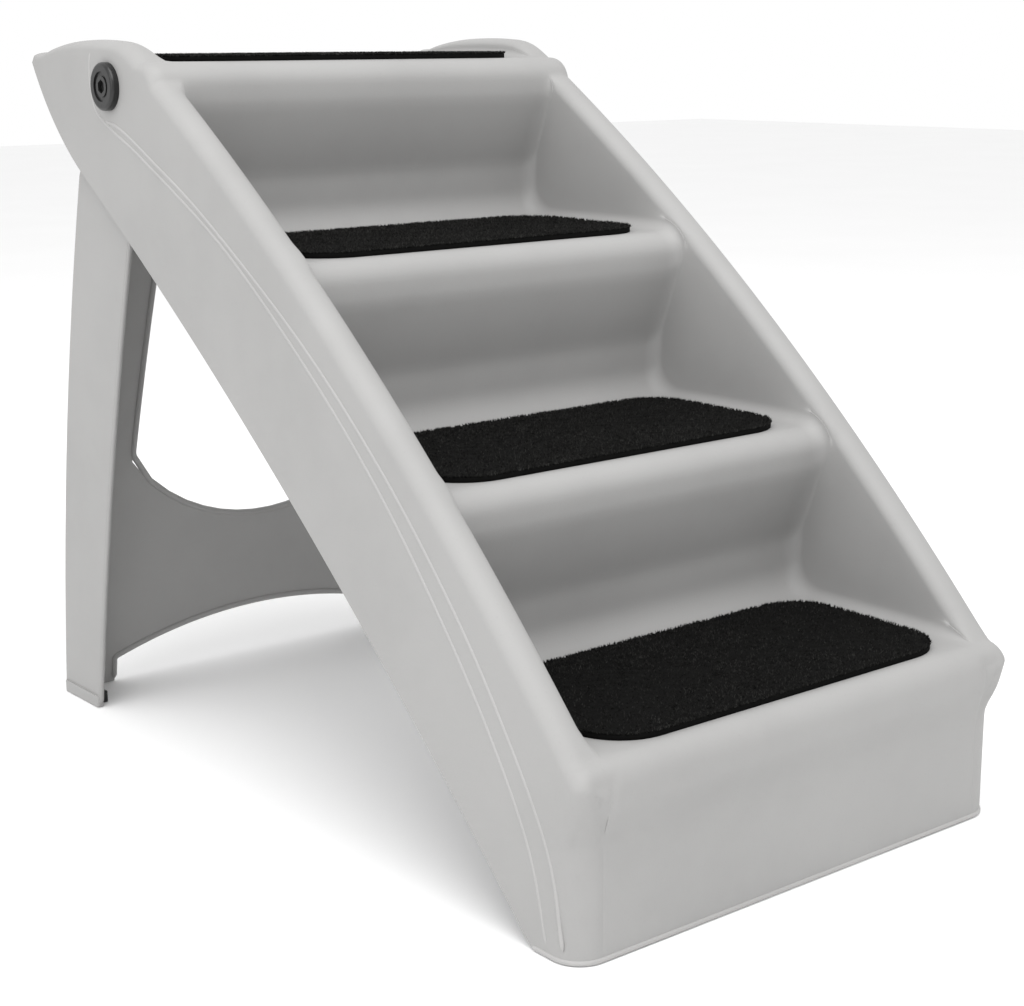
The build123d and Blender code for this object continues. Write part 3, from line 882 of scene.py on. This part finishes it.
class PETSTEPS_OT_stage(bpy.types.Operator):
    """Pale floor, soft studio light and camera"""

    bl_idname = "pet_steps.stage"
    bl_label = "Studio"

    def execute(self, context):
        """A flat floor, an even white world, one broad light above and one at the side."""
        mesh = bpy.data.meshes.new("studio_floor")
        reach, floor_z = 9, -0.0005
        corners = [(x * reach, y * reach, floor_z) for x, y in ((-1, -1), (1, -1), (1, 1), (-1, 1))]
        mesh.from_pydata(corners, [], [(0, 1, 2, 3)])
        floor = bpy.data.objects.new("studio_floor", mesh)
        context.scene.collection.objects.link(floor)
        paper = Finish("pale_floor", Roughness=0.9, Specular_IOR_Level=0.1)
        paper.drive("Base Color", paper.mix(paper.noise(3.0), (0.90, 0.90, 0.90), (0.93, 0.93, 0.93)))
        mesh.materials.append(paper.material)
        world = bpy.data.worlds.new("studio_world")
        world.use_nodes = True
        background = world.node_tree.nodes["Background"]
        background.inputs["Color"].default_value = (1, 1, 1, 1)
        background.inputs["Strength"].default_value = 1.0
        context.scene.world = world
        aim = Vector((0, 0, 0.3))
        for name, place, size, power in (("top_light", (-0.5, -0.9, 2.4), 2.2, 46),
                                         ("side_light", (-2.4, -0.3, 1.3), 1.8, 16)):
            light = bpy.data.lights.new(name, "AREA")
            light.size, light.energy = size, power
            lamp = bpy.data.objects.new(name, light)
            context.scene.collection.objects.link(lamp)
            lamp.location = place
            lamp.rotation_euler = (aim - Vector(place)).to_track_quat("-Z", "Y").to_euler()
        context.scene.view_settings.view_transform = "Standard"
        yaw, pitch, roll = math.radians(39.025), math.radians(13.738), math.radians(0.3734)
        ahead = Vector((math.sin(yaw) * math.cos(pitch), math.cos(yaw) * math.cos(pitch), -math.sin(pitch)))
        right = Vector((math.cos(yaw), -math.sin(yaw), 0))
        down = ahead.cross(right)
        c, s = math.cos(roll), math.sin(roll)
        right, down = right * c + down * s, down * c - right * s
        data = bpy.data.cameras.new("studio_camera")
        data.sensor_width, data.lens = 36.0, 68.23
        data.shift_x, data.shift_y = -0.0088, 0.0158
        camera = bpy.data.objects.new("studio_camera", data)
        context.scene.collection.objects.link(camera)
        turn = Matrix((right, -down, -ahead)).transposed().to_4x4()
        camera.matrix_world = Matrix.Translation((-0.8555, -0.7741 + FRONT_Y / 1000, 0.5181)) @ turn
        context.scene.camera = camera
        return {"FINISHED"}


OPERATORS = (PETSTEPS_OT_shell, PETSTEPS_OT_under, PETSTEPS_OT_lines, PETSTEPS_OT_mats, PETSTEPS_OT_legs,
             PETSTEPS_OT_fittings, PETSTEPS_OT_stage)


class PETSTEPS_PT_panel(bpy.types.Panel):
    """Settings and build steps of the pet steps"""

    bl_label = "Pet Steps"
    bl_idname = "PETSTEPS_PT_panel"
    bl_space_type = "VIEW_3D"
    bl_region_type = "UI"
    bl_category = "Pet Steps"

    def draw(self, context):
        scene = context.scene
        for group in (scene.pet_steps_stair, scene.pet_steps_mat, scene.pet_steps_finish):
            box = self.layout.box()
            for name in group.bl_rna.properties.keys():
                if name not in ("rna_type", "name"):
                    box.prop(group, name)
        for operator in OPERATORS:
            self.layout.operator(operator.bl_idname)


CLASSES = (StairSettings, MatSettings, FinishSettings) + OPERATORS + (PETSTEPS_PT_panel,)


def register():
    for cls in CLASSES:
        bpy.utils.register_class(cls)
    bpy.types.Scene.pet_steps_stair = PointerProperty(type=StairSettings)
    bpy.types.Scene.pet_steps_mat = PointerProperty(type=MatSettings)
    bpy.types.Scene.pet_steps_finish = PointerProperty(type=FinishSettings)


def unregister():
    for name in ("pet_steps_stair", "pet_steps_mat", "pet_steps_finish"):
        delattr(bpy.types.Scene, name)
    for cls in reversed(CLASSES):
        bpy.utils.unregister_class(cls)


def main():
    """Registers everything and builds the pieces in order."""
    register()
    bpy.ops.pet_steps.shell()
    bpy.ops.pet_steps.under()
    bpy.ops.pet_steps.lines()
    bpy.ops.pet_steps.mats()
    bpy.ops.pet_steps.legs()
    bpy.ops.pet_steps.fittings()
    bpy.ops.pet_steps.stage()


if __name__ == "__main__":
    main()
